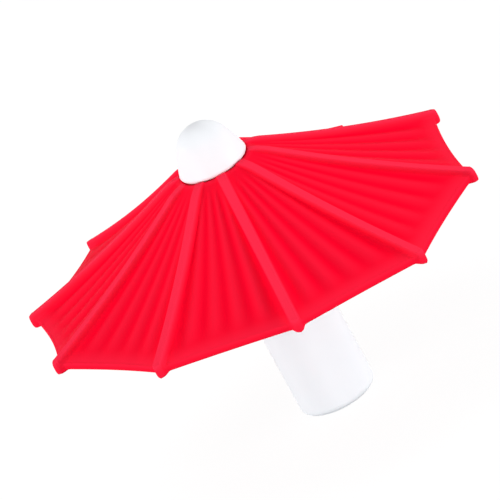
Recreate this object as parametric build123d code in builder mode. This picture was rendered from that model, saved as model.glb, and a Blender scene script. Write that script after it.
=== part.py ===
from build123d import *
from math import asin, atan2, cos, degrees, pi, radians, sin, sqrt
import os

# A drink umbrella on a bottle stopper, in millimetres and degrees.
# +Z runs up the stem, and the origin is the centre of the plug's flat end.

# Canopy: a soft moulding of pleated panels between radial ribs, which turns on the stem
rib_count = 10
pleats_per_panel = 5
canopy_reach = 56.0
tip_height = 40.8
rim_slope = 0.39
slope_gain = 0.0021
rib_width = 2.3
rib_height = 3.3
rib_stand = 1.0
rib_overhang = 1.3
rib_end_round = 0.7
skin_thickness = 1.5
pleat_depth = 0.9
panel_sag = 0.8
hem_band = 2.3
hem_scallop = 1.0
hub_radius = 10.5
hub_thickness = 3.4
hub_lip = 0.3

# The canopy's soft hang: its rim dips on one side, drifts off the stem's axis towards the other,
# and rises and falls as it goes round
rim_dip = 3.5
rim_drift = 1.55
dip_angle = 12
rim_wave_twice_round = 1.45
rim_wave_thrice_round = 1.4
rim_wave_four_times_round = 0.75
wave_angle = 34.5

# Stem: spigot, journal and flange above, barbed shank below
spigot_radius = 3.4
spigot_height = 5.6
bead_stand = 0.3
bead_length = 1.2
journal_radius = 5.0
flange_radius = 9.0
flange_thickness = 2.0
shank_radius = 4.5
barb_count = 3
barb_stand = 0.7
barb_length = 4.0
barb_pitch = 12.0

# Cap: a cone with a rounded lower edge, drawn into a round crown
cap_radius = 8.35
cap_height = 11.2
cap_crown_radius = 6.3
cap_edge_round = 0.9

# Plug: a plain round sleeve with a closed, rounded end
plug_radius = 9.5
plug_edge_round = 2.6
plug_floor = 8.0

# Clearances
running_clearance = 0.08
end_play = 0.15
push_clearance = 0.05
socket_end_gap = 0.4

# Radii, angles and counts that follow from the canopy's sizes
rib_pitch = 360 / rib_count
half_panel = pi / rib_count
hem_reach = canopy_reach - rib_overhang
pleat_end = hem_reach - hem_band
panel_middle = (hub_radius + pleat_end) / 2
folds_per_panel = 2 * pleats_per_panel


def hang_share(radius):
    """Share of the rim's hang at a radius: none at the hub, all at the rib ends."""
    return max(radius - hub_radius, 0) / (canopy_reach - hub_radius)


def rim_rise(angle):
    """How far a rib's end stands above its level ring, for the rib's direction round the stem."""
    from_dip = radians(angle - dip_angle)
    from_wave = radians(angle - wave_angle)
    waves = (
        rim_wave_twice_round * cos(2 * from_wave)
        + rim_wave_thrice_round * cos(3 * from_wave)
        + rim_wave_four_times_round * cos(4 * from_wave)
    )
    return waves - rim_dip * cos(from_dip)


def drift(radius):
    """How far the canopy's ring of a radius lies off the stem's axis."""
    return Vector(-rim_drift * hang_share(radius), 0).rotate(Axis.Z, dip_angle)


def rib_top(radius, rise):
    """Height of a rib's upper face: its slope steepens towards the hub, and its end has a rise."""
    inward = canopy_reach - radius
    level = tip_height + rib_height + rim_slope * inward + slope_gain * inward**2
    return level + hang_share(radius) * rise


# Heights up the stem
hub_top = rib_top(hub_radius, 0) - rib_stand
hub_under = hub_top - hub_thickness
flange_top = hub_under - end_play
flange_under = flange_top - flange_thickness
shoulder = hub_top + end_play
spigot_top = shoulder + spigot_height
cap_top = shoulder + cap_height


def slope_radius(drop):
    """Radius at which a level rib's upper face lies a drop below its height at the hub."""
    hub_slope = rim_slope + 2 * slope_gain * (canopy_reach - hub_radius)
    return hub_radius + 2 * drop / (hub_slope + sqrt(hub_slope**2 - 4 * slope_gain * drop))


def rib(angle):
    """One rib, rooted in the hub in its direction round the stem, with its end on the drifted rim."""
    root = Vector(hub_radius, 0).rotate(Axis.Z, angle)
    end = Vector(canopy_reach, 0).rotate(Axis.Z, angle) + drift(canopy_reach)
    along = end - root
    crest_start = hang_share(slope_radius(rib_stand)) * along.length
    keel_start = hang_share(slope_radius(rib_stand + hub_thickness - rib_height)) * along.length
    crest = []
    for radius in (panel_middle, canopy_reach):
        crest.append((hang_share(radius) * along.length, rib_top(radius, rim_rise(angle))))
    keel = [(run, height - rib_height) for run, height in reversed(crest)]
    with BuildPart() as bar:
        with BuildSketch(Plane.XZ):
            Polygon(
                (-rib_width, hub_under),
                (-rib_width, hub_top),
                (crest_start, hub_top),
                *crest,
                *keel,
                (keel_start, hub_under),
                align=None,
            )
        extrude(amount=rib_width / 2, both=True)
        fillet(bar.edges().group_by(Axis.X)[-1], radius=rib_end_round)
    return Pos(root) * Rot(Z=degrees(atan2(along.Y, along.X))) * bar.part


def skin_section(radius, panel_angle):
    """Corners of an upright cut across a panel: ridges and valleys from rib to rib, and the same below."""
    half_chord = radius * sin(half_panel) - rib_width / 4
    fold_depth = pleat_depth * radius / pleat_end if radius <= pleat_end else 0
    rise_before = rim_rise(panel_angle - rib_pitch / 2)
    rise_after = rim_rise(panel_angle + rib_pitch / 2)
    upper = []
    for fold in range(folds_per_panel + 1):
        share = fold / folds_per_panel
        rise = rise_before + (rise_after - rise_before) * share
        height = min(rib_top(radius, rise) - rib_stand, hub_top - hub_lip)
        sag = panel_sag * 4 * share * (1 - share) * (radius / hem_reach) ** 2
        upper.append(((2 * share - 1) * half_chord, height - sag - fold_depth * (fold % 2)))
    lower = [(across, height - skin_thickness) for across, height in reversed(upper)]
    return upper + lower


def panel(panel_angle):
    """One pleated panel in its direction round the stem, from inside the hub to its scalloped hem."""
    hem_chord = 2 * hem_reach * sin(half_panel)
    scallop_radius = hem_chord**2 / hem_scallop / 8 + hem_scallop / 2
    scallop_middle = hem_reach * cos(half_panel) - hem_scallop + scallop_radius
    with BuildPart() as skin:
        for radius in (hub_radius - rib_width, hub_radius, panel_middle, pleat_end, hem_reach):
            aside = drift(radius).rotate(Axis.Z, -panel_angle)
            with BuildSketch(Plane.YZ.offset(radius * cos(half_panel) + aside.X)):
                with Locations((aside.Y, 0)):
                    Polygon(*skin_section(radius, panel_angle), align=None)
        loft(ruled=True)
        with Locations(drift(hem_reach).rotate(Axis.Z, -panel_angle) + Vector(scallop_middle, 0)):
            Cylinder(scallop_radius, 2 * hub_top, mode=Mode.SUBTRACT)
    return skin.part.rotate(Axis.Z, panel_angle)


# Canopy: hub, ribs and the panels between them, with a bore for the journal
with BuildPart() as canopy:
    with Locations((0, 0, (hub_top + hub_under) / 2)):
        Cylinder(hub_radius, hub_thickness)
    add([rib(rib_pitch * number) for number in range(rib_count)])
    add([panel(rib_pitch * (number + 1 / 2)) for number in range(rib_count)])
    with Locations((0, 0, hub_top)):
        Hole(radius=journal_radius + running_clearance, depth=hub_thickness)
canopy.part.label = "canopy"


def snap_outline(clearance):
    """Outline of the spigot with its snap bead, from the shoulder up, grown by a clearance."""
    radius = spigot_radius + clearance
    bead_middle = (shoulder + spigot_top) / 2
    return [
        (radius, shoulder),
        (radius, bead_middle - bead_length / 2),
        (radius + bead_stand, bead_middle),
        (radius, bead_middle + bead_length / 2),
        (radius, spigot_top),
    ]


def shank_outline(clearance):
    """Outline of the barbed shank, from the plug's floor to the flange, grown by a clearance."""
    radius = shank_radius + clearance
    outline = [(radius, plug_floor)]
    for barb in range(barb_count):
        barb_top = plug_floor + barb_pitch * (barb + 1)
        outline.append((radius, barb_top - barb_length))
        outline.append((radius + barb_stand, barb_top))
        outline.append((radius, barb_top))
    outline.append((radius, flange_under))
    return outline


# Stem: turned from the shank's end to the spigot's
flange_outline = [(flange_radius, flange_under), (flange_radius, flange_top)]
journal_outline = [(journal_radius, flange_top), (journal_radius, shoulder)]
with BuildPart() as core_stem:
    with BuildSketch(Plane.XZ):
        Polygon(
            (0, plug_floor),
            *shank_outline(0),
            *flange_outline,
            *journal_outline,
            *snap_outline(0),
            (0, spigot_top),
            align=None,
        )
    revolve(axis=Axis.Z)
core_stem.part.label = "core_stem"

# Cap: its side is the common tangent of the rounded lower edge and the crown
edge_middle = Vector(cap_radius - cap_edge_round, shoulder + cap_edge_round)
crown_middle = Vector(0, cap_top - cap_crown_radius)
between = crown_middle - edge_middle
lean = atan2(between.Y, -between.X) + asin((cap_crown_radius - cap_edge_round) / between.length)
outward = Vector(sin(lean), cos(lean))
edge_bulge = Vector(sin((lean + pi) / 2), cos((lean + pi) / 2))
crown_bulge = Vector(sin(lean / 2), cos(lean / 2))
side_foot = edge_middle + outward * cap_edge_round
side_head = crown_middle + outward * cap_crown_radius
socket_top = spigot_top + socket_end_gap
with BuildPart() as finial_cap:
    with BuildSketch(Plane.XZ):
        with BuildLine():
            ThreePointArc((0, cap_top), crown_middle + crown_bulge * cap_crown_radius, side_head)
            Line(side_head, side_foot)
            base_edge = (edge_middle.X, shoulder)
            ThreePointArc(side_foot, edge_middle + edge_bulge * cap_edge_round, base_edge)
            socket_end = (spigot_radius + push_clearance, socket_top)
            socket = [*snap_outline(push_clearance), socket_end, (0, socket_top)]
            Polyline(base_edge, *socket, (0, cap_top))
        make_face()
    revolve(axis=Axis.Z)
finial_cap.part.label = "finial_cap"

# Plug: a sleeve over the shank, up to the flange
with BuildPart() as stopper_plug:
    with BuildSketch(Plane.XZ):
        with BuildLine():
            mouth = (plug_radius, flange_under)
            bore = [*reversed(shank_outline(push_clearance)), (0, plug_floor)]
            Polyline((0, 0), (plug_radius, 0), mouth)
            Polyline(mouth, *bore, (0, 0))
        make_face()
    revolve(axis=Axis.Z)
    fillet(stopper_plug.edges().group_by(Axis.Z)[0], radius=plug_edge_round)
stopper_plug.part.label = "stopper_plug"

os.makedirs("parts", exist_ok=True)
for piece in (canopy, core_stem, finial_cap, stopper_plug):
    export_step(piece.part, "parts/" + piece.part.label + ".step")
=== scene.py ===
"""Looks of the drink-umbrella bottle stopper: soft red canopy, white cap, white plug, pale floor.

Shapes are worked out in millimetres and stored in metres, in the frame of the solids.
"""
from math import asin, atan2, cos, hypot, pi, radians, sin, tan

import bpy
import numpy as np
from mathutils import Matrix, Vector


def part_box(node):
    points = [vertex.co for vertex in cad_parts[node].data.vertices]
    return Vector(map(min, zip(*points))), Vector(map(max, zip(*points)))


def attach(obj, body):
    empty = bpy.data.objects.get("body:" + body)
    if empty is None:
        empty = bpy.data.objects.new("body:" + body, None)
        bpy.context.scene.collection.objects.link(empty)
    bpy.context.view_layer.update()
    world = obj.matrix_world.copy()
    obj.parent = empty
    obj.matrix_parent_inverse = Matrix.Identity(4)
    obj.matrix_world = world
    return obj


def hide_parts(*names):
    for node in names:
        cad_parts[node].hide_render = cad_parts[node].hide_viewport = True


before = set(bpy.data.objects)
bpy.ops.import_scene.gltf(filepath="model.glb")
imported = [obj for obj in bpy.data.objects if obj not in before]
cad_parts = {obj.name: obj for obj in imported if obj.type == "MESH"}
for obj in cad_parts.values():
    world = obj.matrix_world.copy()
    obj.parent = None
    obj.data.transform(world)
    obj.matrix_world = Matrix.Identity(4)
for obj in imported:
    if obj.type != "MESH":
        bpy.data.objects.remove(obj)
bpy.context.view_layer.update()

MM = 0.001

# Canopy sizes, in millimetres, as the solids have them
RIBS = 10
PLEATS = 5
RIM_SLOPE = 0.39
SLOPE_GAIN = 0.0021
RIB_HEIGHT = 3.3
RIB_STAND = 1.0
RIB_WIDTH = 2.3
OVERHANG = 1.3
SKIN = 1.5
PANEL_SAG = 0.8
HEM_BAND = 2.3
HUB_RADIUS = 10.5
HUB_THICKNESS = 3.4
BORE_RADIUS = 5.08
HALF_PANEL = pi / RIBS
REACH = (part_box("canopy")[1].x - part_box("canopy")[0].x) / 2 / MM
HUB_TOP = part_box("canopy")[1].z / MM
HUB_UNDER = HUB_TOP - HUB_THICKNESS
HEM = REACH - OVERHANG

# Softer forms of the moulding: rounded pleats, the radius at which they are full and the width in
# which they run out, the hem's thicker edge and hollow line
PLEAT_DEPTH = 0.75
PLEATS_FULL = 1.6 * HUB_RADIUS
PLEATS_RUN_OUT = 4 * HEM_BAND
HEM_EDGE = 1.8
HEM_SCALLOP = 1.05

# The ribs' rounded sides, spread ends and low heads, the round of every rim with the power that
# squares it, and the low collar in which the slope runs up to the cap
RIB_ROUND = 0.5
TIP_SPREAD = 1.2
RIB_HEAD = 0.25 * RIB_STAND
RIM_ROUND = 0.55
RIM_POWER = 0.7
HUB_ROUND = 0.5
COLLAR_STAND = 0.6
COLLAR_RADIUS = 8.6
COLLAR_REACH = 12.4

# How the soft canopy hangs: its rim's waves, as times round and height, its dip on one side
# and its drift towards the other
RIM_WAVES = ((2, 1.45), (3, 1.4), (4, 0.75))
WAVE_WAY = radians(34.5)
RIM_DIP = 3.5
RIM_DRIFT = 1.55
DIP_WAY = radians(12)

# How much painted highlight the canopy's colour takes, from 0 in the folds, left darker as painted
# shade, to 1 on the ribs. The last two are shares of the upper side's painted highlight, kept lower
# as painted shade on the rim's turned-down half and on the underside.
HEM_HIGHLIGHT = 0.5
HEM_HIGHLIGHT_WIDTH = 2.6 * HEM_BAND
HUB_HIGHLIGHT = 0.3
CREST_HIGHLIGHT = 0.34
PLAIN_HIGHLIGHT = 0.15
RIM_UNDER_HIGHLIGHT = 0.5
UNDERSIDE_HIGHLIGHT = 0.3

# Turned pieces, in millimetres, and the points along each stretch of their outlines
CAP_EDGE_ROUND = 0.9
CAP_CROWN_RADIUS = 6.3
CAP_FULLNESS = 0.45
PLUG_FOOT_ROUND = 1.9
PLUG_LIP_ROUND = 0.5
TURN_SIDES = 128
SIDE_STEPS = 12
CAP_EDGE_STEPS = 14
CAP_CROWN_STEPS = 36
PLUG_FOOT_STEPS = 16
PLUG_LIP_STEPS = 8

# Light: the levels of the room's walls and ceiling, the sine of the angle up to which the walls
# reach, and the height in millimetres that the lamps are turned to
WALL_LEVEL = 1.15
CEILING_LEVEL = 0.45
WALL_TOP = 0.55
LAMP_AIM = 35.0

# Floor: half its width in metres, the grey of its light on the object and of the shadow on it, and
# how white it glows
FLOOR_HALF = 4.0
FLOOR_PAPER = "#A4A4A4"
FLOOR_SHADE = "#5A5A5A"
FLOOR_GLOW = 0.94

# Camera: the photograph's angles in degrees, its distance in metres, its picture and the canopy's
# reach in it in pixels, and its aim, as a height in millimetres and pixels off the stem
AZIMUTH, ELEVATION, ROLL = 17.29, 21.24, -28.51
CAMERA_DISTANCE = 2.0
PICTURE_WIDTH = 500
REACH_PIXELS = 242.1
AIM_HEIGHT = 43.1
AIM_LEFT, AIM_DOWN = 7.3, 6.1


def smooth(value, low, high):
    """0 below low, 1 above high, and an S between them."""
    share = np.clip((value - low) / (high - low), 0, 1)
    return share * share * (3 - 2 * share)


def soft_lower(first, second, reach):
    """The lower of two heights, with the corner between them rounded."""
    share = np.clip(0.5 + 0.5 * (second - first) / reach, 0, 1)
    return second * (1 - share) + first * share - reach * share * (1 - share)


def rib_line(radius):
    """Height of the ribs' upper faces before they hang, on a slope that steepens to the hub."""
    outward = radius - HUB_RADIUS
    hub_slope = RIM_SLOPE + 2 * SLOPE_GAIN * (REACH - HUB_RADIUS)
    return HUB_TOP + RIB_STAND - hub_slope * outward + SLOPE_GAIN * outward**2


def canopy_heights(x, y):
    """Upper and lower height of the moulding at plan points of a sector, and painted highlight
    there.

    x runs along the rib in the middle of the sector and y across it.
    """
    side = np.abs(y)
    ring = x + side * tan(HALF_PANEL)
    chord = 2 * ring * sin(HALF_PANEL)
    across = 0.5 + (side * cos(HALF_PANEL) - x * sin(HALF_PANEL)) / chord
    bow = 4 * across * (1 - across)
    to_hem = HEM - HEM_SCALLOP * bow - ring

    fade = smooth(ring, HUB_RADIUS, PLEATS_FULL) * smooth(to_hem, 0, PLEATS_RUN_OUT)
    crest = 0.5 + 0.5 * np.cos(2 * pi * PLEATS * across)
    fold = 0.5 + fade * (0.5 - crest)
    fall = PLEAT_DEPTH * ring / HEM * fold + PANEL_SAG * bow * (ring / HEM) ** 2
    collar = smooth(ring, COLLAR_RADIUS, COLLAR_RADIUS + HUB_ROUND)
    slope = np.clip((COLLAR_REACH - ring) / (COLLAR_REACH - COLLAR_RADIUS), 0, 1)
    hub_top = HUB_TOP + COLLAR_STAND * slope * collar
    panel = soft_lower(rib_line(ring) - RIB_STAND - fall, hub_top, HUB_ROUND)
    rib_head = hub_top + RIB_HEAD * collar
    rib = np.maximum(soft_lower(rib_line(x), rib_head, RIB_STAND), panel)
    half_rib, half_round = RIB_WIDTH / 2, RIB_ROUND / 2
    rib_share = 1 - smooth(side, half_rib - half_round, half_rib + half_round)
    upper = panel + (rib - panel) * rib_share

    band = 1 - smooth(to_hem, 0, HEM_BAND)
    skin_under = panel - SKIN + (SKIN - HEM_EDGE) * band
    keel = np.minimum(rib_line(x) - RIB_HEIGHT, HUB_UNDER)
    lower = skin_under + (np.minimum(keel, skin_under) - skin_under) * rib_share
    hub = 1 - smooth(ring, HUB_RADIUS - HUB_ROUND, HUB_RADIUS + HUB_ROUND)
    lower += (HUB_UNDER - lower) * hub

    # Painted highlight: full on the ribs, some on the hem band, the hub, the pleat crests and the
    # plain panel, so that the grooves stay darker as painted shade
    hem_highlight = HEM_HIGHLIGHT * (1 - smooth(to_hem, 0, HEM_HIGHLIGHT_WIDTH))
    panel_highlight = CREST_HIGHLIGHT * crest * fade + PLAIN_HIGHLIGHT * (1 - fade)
    pale = np.maximum.reduce([rib_share, hem_highlight, HUB_HIGHLIGHT * hub, panel_highlight])
    return upper, lower, pale


def sector_grid():
    """Points, quads and painted highlight of one rib with half a panel on each side, as a closed
    band.

    Rows run round the band: out over the top, down over the rim and back below. Columns run across
    and crowd at the rib's rounded sides.
    """
    half_rib = RIB_WIDTH / 2
    rib_columns = half_rib * np.array([0, 0.4, 0.65, 0.78, 0.87, 0.96, 1.04, 1.13, 1.24, 1.4])
    # By the bore the rib's columns draw in to this share of half a panel
    rib_room = 0.75
    panel_columns = np.linspace(0, 1, 25)[1:]
    # Shares of the way from the bore to the rim
    hub_end, hem_start = 0.15, 0.9
    hub_rows = np.linspace(0, hub_end, 18)[:-1]
    slope_rows = np.linspace(hub_end, hem_start, 36)[:-1]
    hem_rows = np.linspace(hem_start, 1, 14)
    rim_turns = np.linspace(pi / 2, -pi / 2, 11)[1:-1]

    def plan(ring):
        """Plan points across half a sector, for the rings on which its columns lie."""
        half_chord = ring * sin(HALF_PANEL)
        rib_run = rib_columns / cos(HALF_PANEL)
        rib_run = rib_run * min(1, rib_room * half_chord[-1] / rib_run[-1])
        foot = rib_run[-1] / half_chord[-1]
        share = foot + (1 - foot) * panel_columns
        run = np.concatenate([rib_run, share * half_chord[len(rib_run):]])
        return ring - run * sin(HALF_PANEL), run * cos(HALF_PANEL)

    tip = 1 - smooth(rib_columns, half_rib - TIP_SPREAD / 2, half_rib + TIP_SPREAD / 2)
    rib_edge = rib_columns / (sin(2 * HALF_PANEL) * HEM)
    across = np.concatenate([rib_edge, rib_edge[-1] + (0.5 - rib_edge[-1]) * panel_columns])
    rim = HEM + OVERHANG * np.concatenate([tip, np.zeros(len(panel_columns))])
    edge = rim - HEM_SCALLOP * 4 * across * (1 - across) - RIM_ROUND
    top, under = [], []
    for step in np.concatenate([hub_rows, slope_rows, hem_rows]):
        x, y = plan(BORE_RADIUS + (edge - BORE_RADIUS) * step)
        upper, lower, pale = canopy_heights(x, y)
        top.append((x, y, upper, pale))
        # The underside takes less of the painted highlight, as painted shade
        under.append((x, y, lower, UNDERSIDE_HIGHLIGHT * pale))
    middle, half = (upper + lower) / 2, (upper - lower) / 2
    rim_rows = []
    for turn in rim_turns:
        bulge = cos(turn) ** RIM_POWER
        rise = np.sign(sin(turn)) * abs(sin(turn)) ** RIM_POWER
        x, y = plan(edge + RIM_ROUND * bulge)
        # The rim's turned-down half takes less of the painted highlight, as painted shade
        rim_highlight = pale * (RIM_UNDER_HIGHLIGHT + (1 - RIM_UNDER_HIGHLIGHT) * max(rise, 0))
        rim_rows.append((x, y, middle + half * rise, rim_highlight))

    points, painted_highlight = [], []
    for x, y, z, pale in top + rim_rows + under[::-1]:
        radius = np.hypot(x, y)
        scale = 1 + (x[0] / radius - 1) * (1 - smooth(radius, BORE_RADIUS, HUB_RADIUS))
        half_row = np.stack([x * scale, y * scale, z], 1)
        points.append(np.concatenate([half_row[:0:-1] * (1, -1, 1), half_row]))
        painted_highlight.append(np.concatenate([pale[:0:-1], pale]))
    wide, deep = len(points[0]), len(points)
    quads = []
    for row in range(deep):
        here, there = row * wide, (row + 1) % deep * wide
        for column in range(wide - 1):
            after = column + 1
            quads.append((here + column, there + column, there + after, here + after))
    return np.concatenate(points) * MM, quads, np.concatenate(painted_highlight)


def rim_rise(way):
    """How far a rib's end stands above its level ring, for the rib's direction round the stem."""
    waves = sum(height * np.cos(times * (way - WAVE_WAY)) for times, height in RIM_WAVES)
    return waves - RIM_DIP * np.cos(way - DIP_WAY)


def hang_softly(points):
    """Hangs an even canopy as the soft one hangs: still at the hub, straight from rib to rib."""
    x, y, z = points.T / MM
    way = np.arctan2(y, x)
    from_middle = way % (2 * HALF_PANEL) - HALF_PANEL
    before, after = way - from_middle - HALF_PANEL, way - from_middle + HALF_PANEL
    across = 0.5 + 0.5 * np.tan(from_middle) / tan(HALF_PANEL)
    rise = rim_rise(before) * (1 - across) + rim_rise(after) * across
    ring = np.hypot(x, y) * np.cos(from_middle) / cos(HALF_PANEL)
    share = np.maximum(ring - HUB_RADIUS, 0) / (REACH - HUB_RADIUS)
    drift = RIM_DRIFT * share
    hung = [x - drift * cos(DIP_WAY), y - drift * sin(DIP_WAY), z + share * rise]
    return np.stack(hung, 1) * MM


def mesh_object(name, points, faces):
    """A new smooth-shaded object in the scene, from points in metres and faces."""
    mesh = bpy.data.meshes.new(name)
    mesh.from_pydata([tuple(point) for point in points], [], faces)
    mesh.polygons.foreach_set("use_smooth", [True] * len(faces))
    mesh.update()
    piece = bpy.data.objects.new(name, mesh)
    bpy.context.scene.collection.objects.link(piece)
    return piece


def linear(hex_colour):
    """An sRGB hex colour as linear red, green, blue and alpha."""
    channels = [int(hex_colour[place:place + 2], 16) / 255 for place in (1, 3, 5)]
    return [c / 12.92 if c <= 0.04045 else ((c + 0.055) / 1.055) ** 2.4 for c in channels] + [1]


def add_node(tree, kind, links=None, settings=None, **values):
    """Adds a node, sets its properties and inputs, and links its inputs to other nodes' outputs."""
    node = tree.nodes.new(kind)
    for key, value in (settings or {}).items():
        setattr(node, key, value)
    for key, value in values.items():
        node.inputs[key.replace("_", " ")].default_value = value
    for key, output in (links or {}).items():
        tree.links.new(output, node.inputs[key])
    return node


def new_material(name):
    """An empty node material and its tree."""
    material = bpy.data.materials.new(name)
    material.use_nodes = True
    material.node_tree.nodes.clear()
    return material, material.node_tree


def moulded_material(name, deep, pale, grain, roughness, refraction, gloss, attribute=None):
    """A moulded material that runs from a deep to a pale colour, with a fine grain in its skin.

    The colour follows an attribute of the piece, which on the canopy carries painted highlight and
    shade, or soft clouds in the melt. Grain is in millimetres. A mould's real grain is too fine to
    show, so it is drawn as coarse as it needs.
    """
    cloud = 8.0
    grain_depth = 0.04
    grain_strength = 0.3
    roughness_spread = 0.08
    material, tree = new_material(name)
    place = {"Vector": add_node(tree, "ShaderNodeTexCoord").outputs["Object"]}
    if attribute:
        share = add_node(tree, "ShaderNodeAttribute", settings={"attribute_name": attribute})
    else:
        share = add_node(tree, "ShaderNodeTexNoise", place, Scale=1 / (cloud * MM), Detail=2.0)
    # A mix node's two colours and its result share their names with other sockets,
    # so they are taken by their places
    following = {"Factor": share.outputs["Fac"]}
    tint = add_node(tree, "ShaderNodeMix", following, {"data_type": "RGBA"})
    tint.inputs[6].default_value = linear(deep)
    tint.inputs[7].default_value = linear(pale)
    specks = add_node(tree, "ShaderNodeTexNoise", place, Scale=1 / (grain * MM), Detail=2.0)
    speck = specks.outputs["Fac"]
    matt = add_node(
        tree,
        "ShaderNodeMapRange",
        {"Value": speck},
        To_Min=roughness - roughness_spread,
        To_Max=roughness + roughness_spread,
    )
    bump = add_node(
        tree,
        "ShaderNodeBump",
        {"Height": speck},
        Strength=grain_strength,
        Distance=grain_depth * MM,
    )
    shader = add_node(
        tree,
        "ShaderNodeBsdfPrincipled",
        {
            "Base Color": tint.outputs[2],
            "Roughness": matt.outputs[0],
            "Normal": bump.outputs["Normal"],
        },
        IOR=refraction,
        Specular_IOR_Level=gloss,
    )
    add_node(tree, "ShaderNodeOutputMaterial", {"Surface": shader.outputs["BSDF"]})
    return material


def repeat_round_stem():
    """A tree that repeats a sector round the stem, joins the copies and gives them a material."""
    tree = bpy.data.node_groups.new("repeat_round_stem", "GeometryNodeTree")
    sockets = tree.interface
    sockets.new_socket("Geometry", in_out="INPUT", socket_type="NodeSocketGeometry")
    sockets.new_socket("Copies", in_out="INPUT", socket_type="NodeSocketInt")
    sockets.new_socket("Join distance", in_out="INPUT", socket_type="NodeSocketFloat")
    sockets.new_socket("Material", in_out="INPUT", socket_type="NodeSocketMaterial")
    sockets.new_socket("Geometry", in_out="OUTPUT", socket_type="NodeSocketGeometry")
    given = add_node(tree, "NodeGroupInput").outputs
    points = add_node(tree, "GeometryNodePoints", {"Count": given["Copies"]})
    number = add_node(tree, "GeometryNodeInputIndex").outputs["Index"]
    shares = {0: number, 1: given["Copies"]}
    turn = add_node(tree, "ShaderNodeMath", shares, {"operation": "DIVIDE"})
    angle = add_node(tree, "ShaderNodeMath", {0: turn.outputs[0]}, {"operation": "MULTIPLY"})
    angle.inputs[1].default_value = 2 * pi
    spin = add_node(tree, "ShaderNodeCombineXYZ", {"Z": angle.outputs[0]})
    placing = {
        "Points": points.outputs[0],
        "Instance": given["Geometry"],
        "Rotation": spin.outputs[0],
    }
    copies = add_node(tree, "GeometryNodeInstanceOnPoints", placing)
    real = add_node(tree, "GeometryNodeRealizeInstances", {"Geometry": copies.outputs[0]})
    joining = {"Geometry": real.outputs[0], "Distance": given["Join distance"]}
    joined = add_node(tree, "GeometryNodeMergeByDistance", joining)
    painting = {"Geometry": joined.outputs[0], "Material": given["Material"]}
    painted = add_node(tree, "GeometryNodeSetMaterial", painting)
    add_node(tree, "NodeGroupOutput", {"Geometry": painted.outputs[0]})
    return tree


def settle(piece, tree, inputs):
    """Runs a geometry tree on a piece, with inputs by name, and keeps the result as a mesh."""
    modifier = piece.modifiers.new("shape", "NODES")
    modifier.node_group = tree
    for item in tree.interface.items_tree:
        if item.in_out == "INPUT" and item.name in inputs:
            modifier[item.identifier] = inputs[item.name]
    graph = bpy.context.evaluated_depsgraph_get()
    mesh = bpy.data.meshes.new_from_object(piece.evaluated_get(graph))
    piece.modifiers.clear()
    old = piece.data
    piece.data = mesh
    bpy.data.meshes.remove(old)
    mesh.name = piece.name


def umbrella_canopy(material):
    """The canopy: one modelled sector repeated round the stem, joined, and hung as it hangs."""
    join_distance = 0.002
    points, quads, painted_highlight = sector_grid()
    piece = mesh_object("umbrella_canopy", points, quads)
    # The painted highlight and shade go on the mesh for the material's colour
    layer = piece.data.attributes.new("painted_highlight", "FLOAT", "POINT")
    layer.data.foreach_set("value", painted_highlight.astype(np.float32))
    inputs = {"Copies": RIBS, "Join distance": join_distance * MM, "Material": material}
    settle(piece, repeat_round_stem(), inputs)
    points = np.empty(3 * len(piece.data.vertices))
    piece.data.vertices.foreach_get("co", points)
    piece.data.vertices.foreach_set("co", hang_softly(points.reshape(-1, 3)).ravel())
    piece.data.update()
    return piece


def turned_piece(name, profile, material):
    """A closed turned shape, from radius and height pairs that start and end on the axis."""
    turns = [2 * pi * side / TURN_SIDES for side in range(TURN_SIDES)]
    points = [(0, 0, profile[0][1] * MM)]
    for radius, height in profile[1:-1]:
        for turn in turns:
            points.append((radius * cos(turn) * MM, radius * sin(turn) * MM, height * MM))
    points.append((0, 0, profile[-1][1] * MM))
    rings = len(profile) - 2
    last = len(points) - 1
    top = 1 + (rings - 1) * TURN_SIDES
    faces = []
    for side in range(TURN_SIDES):
        after = (side + 1) % TURN_SIDES
        faces.append((0, 1 + after, 1 + side))
        for ring in range(rings - 1):
            low, high = 1 + ring * TURN_SIDES, 1 + (ring + 1) * TURN_SIDES
            faces.append((low + side, low + after, high + after, high + side))
        faces.append((last, top + side, top + after))
    piece = mesh_object(name, points, faces)
    piece.data.materials.append(material)
    return piece


def arc(middle, radius, start, end, steps):
    """Points on an arc, with its angles measured from the upward axis towards the outside."""
    turns = np.linspace(start, end, steps)
    return [(middle[0] + radius * sin(turn), middle[1] + radius * cos(turn)) for turn in turns]


def domed_cap(material):
    """The cap: a rounded lower edge, a side that swells out a little and a round crown."""
    low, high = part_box("finial_cap")
    base, top, wide = low.z / MM, high.z / MM, high.x / MM
    edge_middle = (wide - CAP_EDGE_ROUND, base + CAP_EDGE_ROUND)
    crown_middle = (0, top - CAP_CROWN_RADIUS)
    rise = crown_middle[1] - edge_middle[1]
    apart = hypot(rise, edge_middle[0])
    lean = atan2(rise, edge_middle[0]) + asin((CAP_CROWN_RADIUS - CAP_EDGE_ROUND) / apart)
    edge = arc(edge_middle, CAP_EDGE_ROUND, pi, lean, CAP_EDGE_STEPS)
    crown = arc(crown_middle, CAP_CROWN_RADIUS, lean, 0, CAP_CROWN_STEPS)
    side = np.linspace(edge[-1], crown[0], SIDE_STEPS)[1:-1]
    profile = [(0, base), (wide / 3, base)]
    for radius, height in [*edge, *side, *crown]:
        swell = CAP_FULLNESS * sin(pi * (height - base) / (top - base))
        profile.append((radius + swell, height))
    return turned_piece("domed_cap", profile, material)


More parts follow.
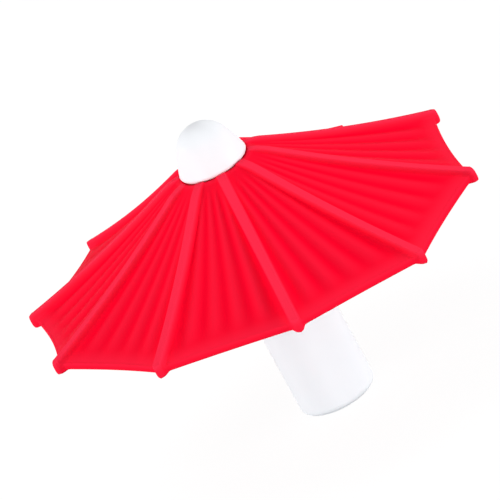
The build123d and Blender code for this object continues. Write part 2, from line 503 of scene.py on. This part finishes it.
def stopper_sleeve(material):
    """The plug: a straight sleeve with a rounded foot and a finely rounded upper lip."""
    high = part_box("stopper_plug")[1]
    wide, top = high.x / MM, high.z / MM
    foot_middle = (wide - PLUG_FOOT_ROUND, PLUG_FOOT_ROUND)
    lip_middle = (wide - PLUG_LIP_ROUND, top - PLUG_LIP_ROUND)
    profile = [(0, 0), (wide / 3, 0)]
    profile += arc(foot_middle, PLUG_FOOT_ROUND, pi, pi / 2, PLUG_FOOT_STEPS)
    for height in np.linspace(foot_middle[1], lip_middle[1], SIDE_STEPS)[1:-1]:
        profile.append((wide, height))
    profile += arc(lip_middle, PLUG_LIP_ROUND, pi / 2, 0, PLUG_LIP_STEPS)
    profile += [(wide / 2, top), (0, top)]
    return turned_piece("stopper_sleeve", profile, material)


def seen_directly(tree):
    """1 for what the camera sees, straight, mirrored or through glass, and 0 for other light."""
    path = add_node(tree, "ShaderNodeLightPath").outputs
    either = {"operation": "MAXIMUM"}
    straight = {0: path["Is Camera Ray"], 1: path["Is Glossy Ray"]}
    mirrored = add_node(tree, "ShaderNodeMath", straight, either)
    through = {0: mirrored.outputs[0], 1: path["Is Transmission Ray"]}
    return add_node(tree, "ShaderNodeMath", through, either).outputs[0]


def pale_floor():
    """A plain pale paper floor, which looks white and keeps a faint shadow."""
    sides = ((-1, -1), (1, -1), (1, 1), (-1, 1))
    corners = [(x * FLOOR_HALF, y * FLOOR_HALF, 0) for x, y in sides]
    floor = mesh_object("floor", corners, [(0, 1, 2, 3)])
    material, tree = new_material("pale_paper_floor")
    matt = add_node(tree, "ShaderNodeBsdfDiffuse", Color=linear(FLOOR_PAPER))
    shade = add_node(tree, "ShaderNodeBsdfDiffuse", Color=linear(FLOOR_SHADE))
    glow = add_node(tree, "ShaderNodeEmission", Color=(1, 1, 1, 1), Strength=FLOOR_GLOW)
    white = add_node(tree, "ShaderNodeAddShader", {0: glow.outputs[0], 1: shade.outputs[0]})
    choice = {0: seen_directly(tree), 1: matt.outputs[0], 2: white.outputs[0]}
    surface = add_node(tree, "ShaderNodeMixShader", choice)
    add_node(tree, "ShaderNodeOutputMaterial", {"Surface": surface.outputs[0]})
    floor.data.materials.append(material)


def soft_room():
    """An even room with bright walls and a dimmer ceiling, which the camera sees as white."""
    world = bpy.data.worlds.new("soft_room")
    bpy.context.scene.world = world
    world.use_nodes = True
    tree = world.node_tree
    tree.nodes.clear()
    way = add_node(tree, "ShaderNodeTexCoord").outputs["Generated"]
    height = add_node(tree, "ShaderNodeSeparateXYZ", {"Vector": way}).outputs["Z"]
    level = add_node(
        tree,
        "ShaderNodeMapRange",
        {"Value": height},
        {"interpolation_type": "SMOOTHSTEP"},
        From_Max=WALL_TOP,
        To_Min=WALL_LEVEL,
        To_Max=CEILING_LEVEL,
    )
    strength = {"Strength": level.outputs[0]}
    room = add_node(tree, "ShaderNodeBackground", strength, Color=(1, 1, 1, 1))
    white = add_node(tree, "ShaderNodeBackground", Color=(1, 1, 1, 1), Strength=1.0)
    choice = {0: seen_directly(tree), 1: room.outputs[0], 2: white.outputs[0]}
    both = add_node(tree, "ShaderNodeMixShader", choice)
    add_node(tree, "ShaderNodeOutputWorld", {"Surface": both.outputs[0]})


def soft_box(name, way, distance, size, level):
    """A broad lamp, by its way from the object and its light's level on a face turned to it."""
    lamp = bpy.data.lights.new(name, "AREA")
    lamp.shape = "ELLIPSE"
    lamp.size, lamp.size_y = size
    lamp.energy = level * (pi * distance) ** 2
    holder = bpy.data.objects.new(name, lamp)
    bpy.context.scene.collection.objects.link(holder)
    way = way.normalized()
    turn = way.to_track_quat("Z", "Y").to_matrix().to_4x4()
    place = Vector((0, 0, LAMP_AIM * MM)) + way * distance
    holder.matrix_world = Matrix.Translation(place) @ turn


def photo_camera():
    """A long lens at the photograph's angle, leaned over as the photograph is.

    Gives the level ways to the camera's right and back to it.
    """
    azimuth, elevation, roll = radians(AZIMUTH), radians(ELEVATION), radians(ROLL)
    pixel = REACH * MM / REACH_PIXELS
    level = Vector((cos(azimuth), sin(azimuth), 0))
    level_back = level.cross(Vector((0, 0, 1)))
    back = level_back * cos(elevation) + Vector((0, 0, sin(elevation)))
    upright = back.cross(level)
    right = level * cos(roll) + upright * sin(roll)
    up = upright * cos(roll) - level * sin(roll)
    aim = Vector((0, 0, AIM_HEIGHT * MM)) - right * (AIM_LEFT * pixel) - up * (AIM_DOWN * pixel)
    data = bpy.data.cameras.new("long_lens")
    data.sensor_width = 36.0
    data.lens = data.sensor_width * CAMERA_DISTANCE / (PICTURE_WIDTH * pixel)
    data.clip_start, data.clip_end = 0.05, 50
    camera = bpy.data.objects.new("long_lens", data)
    bpy.context.scene.collection.objects.link(camera)
    turn = Matrix((right, up, back)).transposed().to_4x4()
    camera.matrix_world = Matrix.Translation(aim + back * CAMERA_DISTANCE) @ turn
    bpy.context.scene.camera = camera
    return level, level_back


def finish_piece(piece, node, body):
    """Puts a finished piece in place of its solid, on the solid's body."""
    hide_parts(node)
    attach(piece, body)


bpy.context.scene.view_settings.view_transform = "Standard"

# Pigmented silicone rubber from a matt mould, with almost no gloss: deep red as its own colour, and
# pale red as a painted highlight on the ribs, pleat crests, hem and hub, which leaves the folds
# darker as painted shade
red_silicone = moulded_material(
    "moulded_red_silicone",
    deep="#F80028",
    pale="#FC2948",
    grain=0.5,
    roughness=0.6,
    refraction=1.41,
    gloss=0.02,
    attribute="painted_highlight",
)
# Injection-moulded ABS: clean white with a soft satin gloss
white_abs = moulded_material(
    "moulded_white_abs",
    deep="#E8EAEE",
    pale="#ECEEF2",
    grain=0.4,
    roughness=0.42,
    refraction=1.53,
    gloss=0.25,
)
# White silicone rubber: a cool white, a little milky, with a satin skin
white_silicone = moulded_material(
    "moulded_white_silicone",
    deep="#F2F8FD",
    pale="#F6FBFF",
    grain=0.4,
    roughness=0.5,
    refraction=1.41,
    gloss=0.2,
)
# Natural polypropylene: unpigmented, waxy and slightly grey
natural_polypropylene = moulded_material(
    "natural_polypropylene",
    deep="#E2E2DC",
    pale="#EBEBE6",
    grain=0.6,
    roughness=0.45,
    refraction=1.49,
    gloss=0.4,
)

finish_piece(umbrella_canopy(red_silicone), "canopy", "canopy")
finish_piece(domed_cap(white_abs), "finial_cap", "stopper")
finish_piece(stopper_sleeve(white_silicone), "stopper_plug", "stopper")
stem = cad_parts["core_stem"]
stem.data.materials.clear()
stem.data.materials.append(natural_polypropylene)

pale_floor()
soft_room()
right, back = photo_camera()
up = Vector((0, 0, 1))
# One broad lamp above and a little behind, and a low one on each side for the plug under the canopy
soft_box(
    "broad_lamp_above",
    way=up - 0.15 * back - 0.25 * right,
    distance=0.8,
    size=(0.6, 0.6),
    level=0.28,
)
soft_box(
    "low_lamp_left",
    way=0.5 * back - 0.87 * right + 0.06 * up,
    distance=1.2,
    size=(0.9, 0.12),
    level=0.6,
)
soft_box(
    "low_lamp_right",
    way=0.5 * back + 0.87 * right + 0.06 * up,
    distance=1.2,
    size=(0.9, 0.12),
    level=0.68,
)
